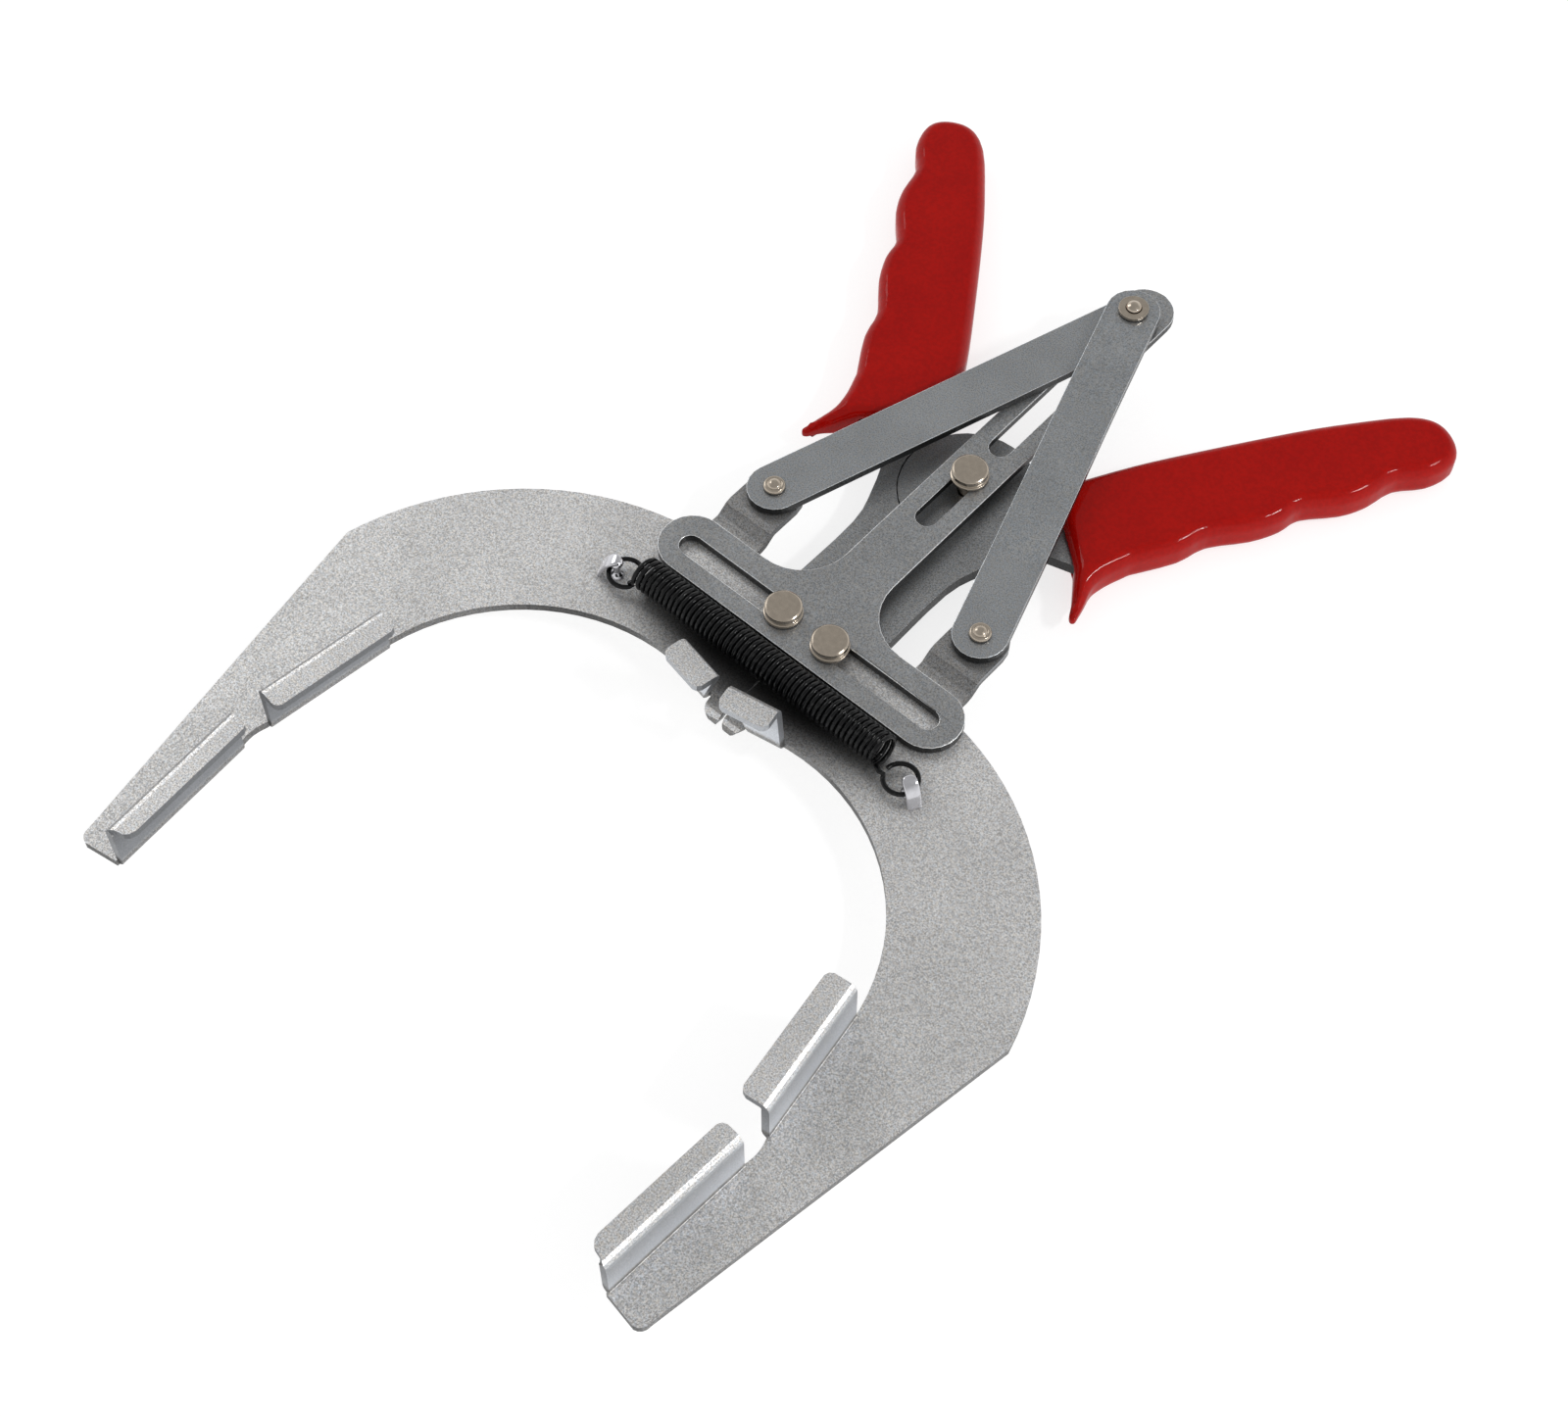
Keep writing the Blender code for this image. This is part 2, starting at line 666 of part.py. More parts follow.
def link_rivet(name, centre, steel):
    """A rivet with a raised rim about a domed head."""
    seat = LINK_BOTTOM + LINK_T + GAP
    profile = [(0, seat + 1.35), (0.9, seat + 1.2), (1.5, seat + 0.75), (1.8, seat + 0.9),
               (2.2, seat + 0.75), (2.4, seat + 0.3), (2.4, seat), (RIVET_R, seat)]
    return add_object(name, lathe(profile + rivet_foot(), centre), steel, (*centre, 0.0))


def rivet_washer(name, centre, steel):
    disc = ring(centre, RIVET_BORE_R, 3.6, RIVET_WASHER_TOP - RIVET_WASHER_T, RIVET_WASHER_TOP)
    return add_object(name, disc, steel, (*centre, 0.0))


COLLAR_BOTTOM = LINK_BOTTOM + UPPER_LINK_LIFT + LINK_T + GAP
COLLAR_T = 0.8


def apex_pieces(rivet_steel, plain_steel):
    """The rivet that joins the two links and runs in the guide's long slot."""
    centre = (0.0, APEX_Y)
    origin = (0.0, APEX_Y, 0.0)
    seat = COLLAR_BOTTOM + COLLAR_T + 0.2
    profile = [(0, seat + 0.9), (0.9, seat + 0.8), (1.6, seat + 0.35), (1.8, seat), (RIVET_R, seat)]
    add_object("apex_rivet", lathe(profile + rivet_foot(), centre), rivet_steel, origin)
    collar = ring(centre, RIVET_BORE_R, 3.4, COLLAR_BOTTOM, COLLAR_BOTTOM + COLLAR_T)
    add_object("apex_collar", collar, rivet_steel, origin)
    washer = ring(centre, RIVET_BORE_R, 4.4, RIVET_WASHER_TOP - RIVET_WASHER_T, RIVET_WASHER_TOP)
    add_object("apex_washer", washer, plain_steel, origin)


# ---- spring ---------------------------------------------------------------------------------

def spring(wire_steel):
    """One wire: a hook about the left lug, close coils, and a hook about the right lug."""
    loop_r = 3.6
    loop_x = LUG[0] - 2.3
    left_end, right_end = SPRING_X
    coils = []
    steps_per_turn = 9
    for step in range(TURNS * steps_per_turn + 1):
        angle = 2 * math.pi * step / steps_per_turn
        x = left_end + (right_end - left_end) * step / (TURNS * steps_per_turn)
        coils.append((x, SPRING_Y + COIL_R * math.sin(angle), SPRING_Z + COIL_R * math.cos(angle)))
    loop_y = LUG[1] + 0.3
    neck_z = SPRING_Z - 1.6
    left_loop = [(x, y, neck_z) for x, y in arc(-loop_x, loop_y, loop_r, -20, -290, 9)]
    right_loop = [(x, y, neck_z) for x, y in arc(loop_x, loop_y, loop_r, 160, -110, 9)]
    path = left_loop + [(left_end - 1.6, SPRING_Y + 0.8, SPRING_Z + 2.2)] + coils
    path += [(right_end + 1.6, SPRING_Y + 0.8, SPRING_Z + 2.2)] + right_loop
    return add_object("spring", swept_wire(path, WIRE_R), wire_steel)


# ---- assembly -------------------------------------------------------------------------------

def build():
    for old in list(bpy.data.objects):
        bpy.data.objects.remove(old)
    zinc = material("zinc_plated_sheet", (0.62, 0.63, 0.64), 0.9, 0.45)
    satin = material("satin_zinc_sheet", (0.52, 0.53, 0.54), 0.9, 0.38)
    nickel = material("nickel_plated_steel", (0.72, 0.69, 0.62), 1.0, 0.2)
    plain = material("plain_steel", (0.55, 0.55, 0.56), 1.0, 0.35)
    black = material("black_spring_wire", (0.02, 0.02, 0.02), 0.6, 0.35)
    vinyl = material("red_vinyl", (0.62, 0.05, 0.03), 0.0, 0.35)

    guide_plate(satin)
    spring(black)
    stud("stud_pivot", (0.0, PIVOT_Y), nickel, shoulder_r=4.5)
    stud_washer("pivot_washer", (0.0, PIVOT_Y), plain)
    apex_pieces(nickel, plain)
    for side, word in ((-1, "left"), (1, "right")):
        stud_spot = (side * STUD_X, 0.0)
        rivet_spot = (side * LINK_RIVET[0], LINK_RIVET[1])
        jaw(side, f"jaw_{word}", zinc)
        stud(f"stud_{word}", stud_spot, nickel)
        stud_washer(f"stud_washer_{word}", stud_spot, plain)
        lever(side, f"lever_{word}", satin)
        grip(side, f"grip_{word}", vinyl)
        link(side, f"link_{word}", satin)
        link_rivet(f"link_rivet_{word}", rivet_spot, nickel)
        rivet_washer(f"link_washer_{word}", rivet_spot, plain)


build()
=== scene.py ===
"""Looks of the piston ring expander: finished surfaces, spring, grips, studs and rivets."""
import math

import bpy
from mathutils import Matrix, Vector


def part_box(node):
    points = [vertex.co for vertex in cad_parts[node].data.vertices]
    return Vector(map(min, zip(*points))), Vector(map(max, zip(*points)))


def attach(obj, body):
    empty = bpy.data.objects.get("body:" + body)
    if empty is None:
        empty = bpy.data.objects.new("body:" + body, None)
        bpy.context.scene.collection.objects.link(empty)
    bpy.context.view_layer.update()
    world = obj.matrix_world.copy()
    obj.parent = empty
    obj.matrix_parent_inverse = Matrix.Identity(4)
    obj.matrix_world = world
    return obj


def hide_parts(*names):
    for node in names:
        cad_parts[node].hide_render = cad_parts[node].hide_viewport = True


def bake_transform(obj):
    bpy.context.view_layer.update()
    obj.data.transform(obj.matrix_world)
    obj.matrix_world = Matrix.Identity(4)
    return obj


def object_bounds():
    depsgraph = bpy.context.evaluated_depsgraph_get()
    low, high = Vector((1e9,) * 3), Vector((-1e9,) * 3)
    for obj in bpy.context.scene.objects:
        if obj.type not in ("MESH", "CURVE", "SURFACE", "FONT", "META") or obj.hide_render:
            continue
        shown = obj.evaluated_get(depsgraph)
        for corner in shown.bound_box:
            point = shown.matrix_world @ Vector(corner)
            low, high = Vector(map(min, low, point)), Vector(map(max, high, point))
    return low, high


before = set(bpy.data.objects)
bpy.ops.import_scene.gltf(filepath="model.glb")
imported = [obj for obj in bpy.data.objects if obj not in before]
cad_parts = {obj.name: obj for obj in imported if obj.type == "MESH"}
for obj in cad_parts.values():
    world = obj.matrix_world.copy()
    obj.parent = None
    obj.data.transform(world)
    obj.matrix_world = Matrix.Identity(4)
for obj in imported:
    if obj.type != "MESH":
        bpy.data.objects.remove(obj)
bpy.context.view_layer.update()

MM = 0.001
SIDES = (("left", -1), ("right", 1))

# Lengths below are in millimetres from the middle of the crossbar, on the guide plate's top face.
BAR = Vector((0.0, (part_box("stud_left")[0][1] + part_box("stud_left")[1][1]) / 2,
              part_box("guide_plate")[1][2]))
STUD_X = 6.4
PIVOT_Y = 52.9
APEX_Y = 109.4
LINK_RIVET = (28.3, 21.8)
LUG = (40.0, -14.7)
JAW_TOP = -2.3
JAW_FACE = BAR.z + JAW_TOP * MM

# Studs and rivets: the radius of the shank, the radius of the foot and the foot's height.
STUD_FOOT = (2.2, 3.3, 0.7)
RIVET_FOOT = (1.5, 2.4, 0.6)
FOOT_BEVEL = 0.3

# The tongue beside a lug: its faces above and below its middle line, and its rounded edge.
TONGUE_TOP = 0.55
TONGUE_UNDERSIDE = -0.45
TONGUE_EDGE = 0.2

# Spring: the coils' middle line, the wire, and how its end coils meet the rings on the lugs.
SPRING_Y = -12.6
SPRING_X = (-34.0, 32.0)
SPRING_Z = 2.1
COIL_R = 3.3
WIRE_R = 0.53
WIRE_SIDES = 10
TURNS = 52
STEPS_PER_TURN = 18
FIRST_COIL_ANGLE = -90
LAST_COIL_SHORT = 35
LEAD_LEFT = (-35.2, -15.9, 0.55)
LEAD_RIGHT = (33.4, -16.1, 0.45)
RING_R = 3.6
RING_CENTRE = (LUG[0] - 2.3, LUG[1] + 0.3, 0.15)
RING_START = 203
RING_SWEEP = 335
RING_STEPS = 30
# The wire is cut into lengths at the first distance either side of the middle; the second is listed but
# not used.
STRETCH_END = 29.5
SWING_END = 37.5

# Grips: the guard's tip, how far from it the guard gets thinner, and the share kept at the tip.
GUARD_TIP = (37.4, 41.3)
GUARD_REACH = 13.0
GUARD_KEEP = 0.32
VOXEL = 0.5
SMOOTHING_ROUNDS = 8

# Facets closer together than this are one point.
WELD_REACH = 0.005

# Floor, in metres.
FLOOR_GAP = 0.0005
FLOOR_REACH = 3.0

# Camera: degrees round and above the sheet, metres away, the point aimed at, and the lens.
CAMERA_AZIMUTH = 41.593
CAMERA_RISE = 57.943
CAMERA_DISTANCE = 0.54989
CAMERA_TARGET = (8.26, -16.31, -2.3)
SENSOR = 36.0
LENS = 61.9569


# ---- node helpers ---------------------------------------------------------------------------

class Surface:
    """A Principled material with a few shorthand node builders."""

    def __init__(self, name, **values):
        self.material = bpy.data.materials.new(name)
        self.material.use_nodes = True
        self.tree = self.material.node_tree
        self.shader = self.tree.nodes["Principled BSDF"]
        spots = self.tree.nodes.new("ShaderNodeTexCoord")
        self.place = spots.outputs["Object"]
        self.facing = spots.outputs["Normal"]
        for socket, value in values.items():
            self.shader.inputs[socket.replace("_", " ")].default_value = value

    def noise(self, scale, detail, roughness=0.55):
        """Noise in the piece's own coordinates; a larger scale is finer."""
        node = self.tree.nodes.new("ShaderNodeTexNoise")
        node.inputs["Scale"].default_value = scale
        node.inputs["Detail"].default_value = detail
        node.inputs["Roughness"].default_value = roughness
        self.tree.links.new(self.place, node.inputs["Vector"])
        return node.outputs["Fac"]

    def split(self, vector):
        """The three parts of a vector."""
        node = self.tree.nodes.new("ShaderNodeSeparateXYZ")
        self.tree.links.new(vector, node.inputs["Vector"])
        return node.outputs["X"], node.outputs["Y"], node.outputs["Z"]

    def remap(self, value, low, high, new_low, new_high):
        """A smooth step from new_low at low to new_high at high."""
        node = self.tree.nodes.new("ShaderNodeMapRange")
        node.interpolation_type = "SMOOTHSTEP"
        self.tree.links.new(value, node.inputs["Value"])
        for socket, number in (("From Min", low), ("From Max", high), ("To Min", new_low),
                               ("To Max", new_high)):
            node.inputs[socket].default_value = number
        return node.outputs["Result"]

    def ramp(self, value, stops):
        """A colour ramp through (position, colour) stops."""
        node = self.tree.nodes.new("ShaderNodeValToRGB")
        self.tree.links.new(value, node.inputs["Fac"])
        band = node.color_ramp
        while len(band.elements) < len(stops):
            band.elements.new(0.5)
        for element, (position, colour) in zip(band.elements, stops):
            element.position = position
            element.color = (*colour, 1.0)
        return node.outputs["Color"]

    def math(self, operation, first, second=0.0):
        """A Math node on numbers or outputs."""
        node = self.tree.nodes.new("ShaderNodeMath")
        node.operation = operation
        for socket, item in zip(node.inputs, (first, second)):
            if isinstance(item, (int, float)):
                socket.default_value = item
            else:
                self.tree.links.new(item, socket)
        return node.outputs["Value"]

    def times(self, first, second):
        return self.math("MULTIPLY", first, second)

    def one_less(self, share):
        """One less the share, to turn a share of darkening into a tone."""
        return self.math("SUBTRACT", 1.0, share)

    def blend_colours(self, way, share, first, second):
        """A colour Mix node; share is a number or an output."""
        node = self.tree.nodes.new("ShaderNodeMix")
        node.data_type = "RGBA"
        node.blend_type = way
        if isinstance(share, float):
            node.inputs[0].default_value = share
        else:
            self.tree.links.new(share, node.inputs[0])
        self.tree.links.new(first, node.inputs[6])
        self.tree.links.new(second, node.inputs[7])
        return node.outputs[2]

    def tinted(self, colour, tint):
        """The colour multiplied by the tint."""
        return self.blend_colours("MULTIPLY", 1.0, colour, tint)

    def bump(self, height, depth, strength):
        """Bump of the given depth in millimetres."""
        node = self.tree.nodes.new("ShaderNodeBump")
        node.inputs["Distance"].default_value = depth * MM
        node.inputs["Strength"].default_value = strength
        self.tree.links.new(height, node.inputs["Height"])
        self.tree.links.new(node.outputs["Normal"], self.shader.inputs["Normal"])

    def feed(self, socket, output):
        self.tree.links.new(output, self.shader.inputs[socket])


# ---- materials ------------------------------------------------------------------------------

def speckled(skin, tone, grain, contrast):
    """A fine blasted grain in the base colour; gives the grain back for the roughness and bump."""
    grains = skin.noise(grain, 3.0, 0.8)
    tints = skin.ramp(skin.noise(grain * 0.45, 2.0, 0.6),
                      [(0.35, (1.0, 0.97, 0.92)), (0.5, (0.97, 0.97, 0.97)),
                       (0.65, (0.92, 0.96, 1.0))])
    low = tuple(channel * (1 - contrast) for channel in tone)
    high = tuple(min(channel * (1 + contrast), 1.0) for channel in tone)
    speckle = skin.ramp(grains, [(0.36, low), (0.5, tone), (0.64, high)])
    return grains, skin.tinted(speckle, tints)


def slope_painted_light(skin, upright, side_shade, rim_highlight):
    """Painted light by slope: 1 on the flats, a painted highlight on the rounded rims, painted shade on
    the sheared sides.
    """
    rim = skin.times(skin.remap(upright, 0.90, 0.985, 1.0, 0.0),
                     skin.remap(upright, 0.25, 0.6, 0.0, 1.0))
    side = skin.remap(upright, 0.2, 0.55, side_shade, 1.0)
    return skin.times(side, skin.math("ADD", 1.0, skin.times(rim, rim_highlight - 1.0)))


def grained_finish(skin, grains, roughness, strength):
    """Roughness and bump that follow the plating's grain."""
    skin.feed("Roughness", skin.remap(grains, 0.3, 0.7, roughness + 0.10, roughness - 0.10))
    skin.bump(grains, 0.03, strength)


def plated_zinc(name, tone, grain, contrast, roughness, side_shade, rim_highlight):
    """Zinc-plated sheet: fine speckle, slow cloudy patches, painted highlights on the rims and painted
    shade on the sheared sides.
    """
    skin = Surface(name, Metallic=0.85)
    grains, colour = speckled(skin, tone, grain, contrast)
    clouds = skin.remap(skin.noise(60.0, 4.0), 0.3, 0.7, 0.90, 1.04)
    upright = skin.math("ABSOLUTE", skin.split(skin.facing)[2])
    # Painted highlights on the rims and painted shade on the sheared sides, over the cloudy patches.
    shade = skin.times(clouds, slope_painted_light(skin, upright, side_shade, rim_highlight))
    skin.feed("Base Color", skin.tinted(colour, shade))
    grained_finish(skin, grains, roughness, 0.5)
    return skin.material


def wall_colour(skin, speckle, z, upright, raised):
    """The tabs' walls are bluer than the plate, with painted shade that gets darker towards their tops.
    """
    wall = skin.times(raised, skin.remap(upright, 0.3, 0.8, 0.8, 0.0))
    height = skin.remap(z, JAW_FACE + 2.0 * MM, JAW_FACE + 11.0 * MM, 0.0, 1.0)
    blue_wall = skin.ramp(height, [(0.0, (0.62, 0.65, 0.70)), (1.0, (0.36, 0.38, 0.41))])
    return skin.blend_colours("MIX", wall, speckle, blue_wall)


def plate_rims_and_crease_shade(skin, z, upright, raised):
    """Painted highlights on the plate's own rims with painted shade on its sheared sides, and a line of
    painted shade in the crease where a tab leaves it.
    """
    in_plate = skin.remap(z, JAW_FACE - 0.05 * MM, JAW_FACE + 0.4 * MM, 1.0, 0.0)
    rims_lit_sides_shaded = slope_painted_light(skin, upright, 0.3, 1.35)
    crease = skin.times(skin.one_less(raised), skin.remap(upright, 0.5, 0.9, 1.0, 0.0))
    crease_shade = skin.one_less(skin.times(crease, 0.6))
    return skin.math("ADD", skin.times(in_plate, rims_lit_sides_shaded),
                     skin.times(skin.one_less(in_plate), crease_shade))


def bend_painted_light(skin, facing_x, upright, raised):
    """Painted light on the tabs' rounded bends: painted shade where they face left, a little painted
    highlight where they face right.
    """
    bend = skin.times(raised, skin.times(skin.remap(upright, 0.85, 0.99, 1.0, 0.0),
                                         skin.remap(upright, 0.35, 0.7, 0.0, 1.0)))
    return skin.math("ADD", 1.0, skin.times(bend, skin.remap(facing_x, -0.2, 0.3, -0.55, 0.15)))


def inner_wall_painted_shade(skin, x, facing_x, raised):
    """Painted shade on the tab walls that face the tool's middle."""
    outward = skin.times(facing_x, skin.math("SIGN", x))
    return skin.one_less(skin.times(raised, skin.remap(outward, -0.8, -0.3, 0.6, 0.0)))


def cut_end_painted_shade(skin, x, facing_y):
    """Painted shade on the sheared ends of the outer tabs."""
    far_out = skin.remap(skin.math("ABSOLUTE", x), 20.0 * MM, 30.0 * MM, 0.0, 1.0)
    end = skin.remap(skin.math("ABSOLUTE", facing_y), 0.55, 0.85, 0.0, 1.0)
    return skin.one_less(skin.times(skin.times(end, far_out), 0.6))


def spring_painted_shade(skin, x, y, z, up):
    """Painted shade on the upper faces, in an oval under the spring."""
    across = skin.math("DIVIDE", skin.math("SUBTRACT", y, BAR.y + (SPRING_Y - 1.0) * MM),
                       15.0 * MM)
    along = skin.math("DIVIDE", x, 38.0 * MM)
    reach = skin.math("SQRT", skin.math("ADD", skin.math("POWER", across, 2.0),
                                        skin.math("POWER", along, 2.0)))
    # The painted shade is deepest near the spring and fades out across the oval.
    unshaded_share = skin.remap(reach, 0.35, 1.25, 0.08, 1.0)
    low = skin.remap(z, JAW_FACE + 0.6 * MM, JAW_FACE + 3.0 * MM, 1.0, 0.35)
    top = skin.times(skin.remap(up, 0.2, 0.6, 0.0, 1.0), low)
    return skin.one_less(skin.times(top, skin.one_less(unshaded_share)))


def jaw_zinc(name, tone, grain, contrast, roughness):
    """The jaws' plating, with painted light on its rims, tab walls, bends and cut ends, and painted shade
    under the spring.
    """
    skin = Surface(name, Metallic=0.85)
    grains, speckle = speckled(skin, tone, grain, contrast)
    clouds = skin.remap(skin.noise(45.0, 4.0), 0.3, 0.7, 0.90, 1.02)
    x, y, z = skin.split(skin.place)
    facing_x, facing_y, up = skin.split(skin.facing)
    upright = skin.math("ABSOLUTE", up)
    raised = skin.remap(z, JAW_FACE + 0.5 * MM, JAW_FACE + 2.0 * MM, 0.0, 1.0)
    colour = wall_colour(skin, speckle, z, upright, raised)
    # Painted light: rim highlights, and painted shade on sides, creases, left-facing bends, inner walls
    # and cut ends.
    edges = plate_rims_and_crease_shade(skin, z, upright, raised)
    edges = skin.times(edges, bend_painted_light(skin, facing_x, upright, raised))
    edges = skin.times(edges, inner_wall_painted_shade(skin, x, facing_x, raised))
    edges = skin.times(edges, cut_end_painted_shade(skin, x, facing_y))
    bracket = skin.remap(y, BAR.y + 6.0 * MM, BAR.y + 11.0 * MM, 1.0, 0.44)
    # The painted shade under the spring joins the other tones here.
    shade = skin.times(skin.times(clouds, edges),
                       skin.times(spring_painted_shade(skin, x, y, z, up), bracket))
    skin.feed("Base Color", skin.tinted(colour, shade))
    grained_finish(skin, grains, roughness, 0.6)
    return skin.material


def nickel_plate(name, tone, roughness):
    """Bright nickel with faint turning marks."""
    skin = Surface(name, Metallic=1.0)
    marks = skin.noise(900.0, 2.0)
    deep = tuple(channel * 0.9 for channel in tone)
    skin.feed("Base Color", skin.ramp(marks, [(0.3, deep), (0.7, tone)]))
    skin.feed("Roughness", skin.remap(marks, 0.3, 0.7, roughness - 0.04, roughness + 0.06))
    skin.bump(marks, 0.01, 0.3)
    return skin.material


def black_wire():
    """Black oxide spring wire, oiled, with small bright rubs."""
    skin = Surface("black_wire", Metallic=0.0, Specular_IOR_Level=0.2)
    rubs = skin.noise(700.0, 3.0)
    dark = (0.003, 0.0032, 0.0036)
    skin.feed("Base Color", skin.ramp(rubs, [(0.55, dark), (0.8, (0.03, 0.03, 0.03))]))
    skin.feed("Roughness", skin.remap(rubs, 0.3, 0.7, 0.10, 0.18))
    skin.bump(rubs, 0.01, 0.4)
    return skin.material


def red_vinyl():
    """Dipped red vinyl: smooth, slightly mottled, semi-gloss."""
    skin = Surface("red_vinyl", Specular_IOR_Level=0.02, Coat_Weight=0.28, Coat_Roughness=0.06)
    mottle = skin.noise(90.0, 4.0)
    peel = skin.noise(1200.0, 2.0)
    fine = skin.remap(peel, 0.35, 0.65, 0.9, 1.05)
    colour = skin.ramp(mottle, [(0.3, (0.325, 0.0012, 0.0001)), (0.7, (0.365, 0.0026, 0.0002))])
    skin.feed("Base Color", skin.tinted(colour, fine))
    skin.feed("Roughness", skin.remap(peel, 0.3, 0.7, 0.32, 0.42))
    skin.bump(peel, 0.006, 0.5)
    return skin.material


# ---- pieces ---------------------------------------------------------------------------------

def at(x, y, z):
    """A point given in millimetres from the crossbar's middle."""
    return BAR + Vector((x, y, z)) * MM


def on_circle(centre, radius, angle):
    """The x and y of a point on a circle, at an angle in radians."""
    return centre[0] + radius * math.cos(angle), centre[1] + radius * math.sin(angle)


def add_piece(name, verts, faces, surface, body, crease):
    """A new mesh with its surface, attached to its body if one is given; edges bent more than crease
    degrees stay sharp.
    """
    mesh = bpy.data.meshes.new(name)
    mesh.from_pydata(verts, [], faces)
    mesh.materials.append(surface)
    mesh.shade_smooth()
    mesh.set_sharp_from_angle(angle=math.radians(crease))
    piece = bpy.data.objects.new(name, mesh)
    bpy.context.scene.collection.objects.link(piece)
    if body:
        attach(piece, body)
    return piece


def rounded(profile, amount=0.12, steps=3):
    """The profile with each inner corner replaced by a short curve."""
    soft = [profile[0]]
    for before, corner, after in zip(profile, profile[1:], profile[2:]):
        here = Vector(corner)
        back = Vector(before) - here
        on = Vector(after) - here
        first = here + back.normalized() * min(amount, back.length * 0.45)
        last = here + on.normalized() * min(amount, on.length * 0.45)
        for step in range(steps + 1):
            t = step / steps
            soft.append(tuple(first * (1 - t) ** 2 + here * 2 * t * (1 - t) + last * t * t))
    return soft + [profile[-1]]


def turned(name, centre, profile, surface, body, sides=64):
    """A turned piece; the profile runs from the axis on top down to the axis underneath."""
    rows = rounded(profile)
    verts = [at(*centre, rows[0][1])]
    for radius, height in rows[1:-1]:
        for step in range(sides):
            verts.append(at(*on_circle(centre, radius, 2 * math.pi * step / sides), height))
    verts.append(at(*centre, rows[-1][1]))
    last = len(verts) - 1
    faces = []
    for step in range(sides):
        after = (step + 1) % sides
        faces.append((0, 1 + step, 1 + after))
        faces.append((last, last - sides + after, last - sides + step))
        for row in range(len(rows) - 3):
            upper = 1 + row * sides
            lower = upper + sides
            faces.append((upper + step, lower + step, lower + after, upper + after))
    return add_piece(name, verts, faces, surface, body, crease=30)


def heights(name):
    """The foot and the top of a CAD piece, in millimetres from the guide plate's top face."""
    low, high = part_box(name)
    return (low[2] - BAR.z) / MM, (high[2] - BAR.z) / MM


def riveted_foot(sizes, foot):
    """The end of a profile: down the shank, out over the bevelled foot and in to the axis."""
    shank, reach, height = sizes
    return [(shank, foot + height), (reach, foot + height), (reach - FOOT_BEVEL, foot), (0, foot)]


def studs(nickel):
    """The three flat-headed studs, with a bevelled head over a grooved lower ring."""
    head = [(0, 2.9), (3.55, 2.9), (4.0, 2.6), (4.0, 1.5), (3.7, 1.3), (3.7, 1.05), (4.2, 0.9),
            (4.2, 0.3), (2.2, 0.3)]
    for name, body, x, y in (("stud_left", "left_stud", -STUD_X, 0.0),
                             ("stud_right", "right_stud", STUD_X, 0.0),
                             ("stud_pivot", "pivot", 0.0, PIVOT_Y)):
        foot, _top = heights(name)
        profile = head + riveted_foot(STUD_FOOT, foot)
        piece = turned(name + "_turned", (x, y), profile, nickel, body)
        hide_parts(name)


def rivets(nickel):
    """The link rivets, with a raised rim about a domed middle, and the apex rivet."""
    head = [(0, 4.0), (0.7, 3.93), (1.25, 3.65), (1.5, 3.3), (1.75, 3.4), (2.1, 3.35),
            (2.4, 3.0), (2.4, 2.6), (1.5, 2.6)]
    for word, side in SIDES:
        name = f"link_rivet_{word}"
        foot, _top = heights(name)
        profile = head + riveted_foot(RIVET_FOOT, foot)
        spot = (side * LINK_RIVET[0], LINK_RIVET[1])
        piece = turned(name + "_turned", spot, profile, nickel, f"{word}_link_pin")
        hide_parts(name)
    foot, top = heights("apex_rivet")
    profile = [(0, top), (0.8, top - 0.08), (1.5, top - 0.45), (1.75, top - 0.9),
               (1.5, top - 0.9)] + riveted_foot(RIVET_FOOT, foot)
    piece = turned("apex_rivet_turned", (0.0, APEX_Y), profile, nickel, "left_link")
    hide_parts("apex_rivet")


def tube_faces(rows, sides):
    """The faces of a closed tube whose points come in rows round it."""
    faces = []
    for row in range(rows - 1):
        for step in range(sides):
            here = row * sides + step
            after = row * sides + (step + 1) % sides
            faces.append((here, after, after + sides, here + sides))
    faces.append(tuple(range(sides - 1, -1, -1)))
    faces.append(tuple(range((rows - 1) * sides, rows * sides)))
    return faces


def hook(name, side, polished, body):
    """The bent tongue beside a lug: it rises from the jaw outside the spring's ring and leans over it."""
    # Each point of the middle line with half the tongue's width there.
    path = [(43.3, -16.6, -2.25, 1.5), (42.9, -16.4, -1.2, 1.6), (42.5, -16.1, 0.2, 1.6),
            (41.8, -15.7, 1.5, 1.6), (40.9, -15.2, 2.5, 1.6), (40.0, -14.7, 2.9, 1.5),
            (39.2, -14.3, 2.75, 0.9)]
    run = Vector((path[0][0] - path[-1][0], path[0][1] - path[-1][1])).normalized()
    verts = []
    for index, (x, y, z, half) in enumerate(path):
        before = path[max(index - 1, 0)]
        after = path[min(index + 1, len(path) - 1)]
        fall = math.hypot(after[0] - before[0], after[1] - before[1])
        rise = after[2] - before[2]
        length = math.hypot(fall, rise)
        out = (rise / length * run.x, rise / length * run.y, fall / length)
        for across, lift in ((-half, TONGUE_TOP), (half, TONGUE_TOP),
                             (half, TONGUE_UNDERSIDE), (-half, TONGUE_UNDERSIDE)):
            verts.append(at(side * (x - run.y * across + out[0] * lift),
                            y + run.x * across + out[1] * lift, z + out[2] * lift))
    faces = tube_faces(len(path), 4)
    if side < 0:
        faces = [face[::-1] for face in faces]
    piece = add_piece(name, verts, faces, polished, body, crease=80)
    piece.modifiers.new("edge", "BEVEL").width = TONGUE_EDGE * MM
    piece.modifiers.new("round", "SUBSURF").render_levels = 2


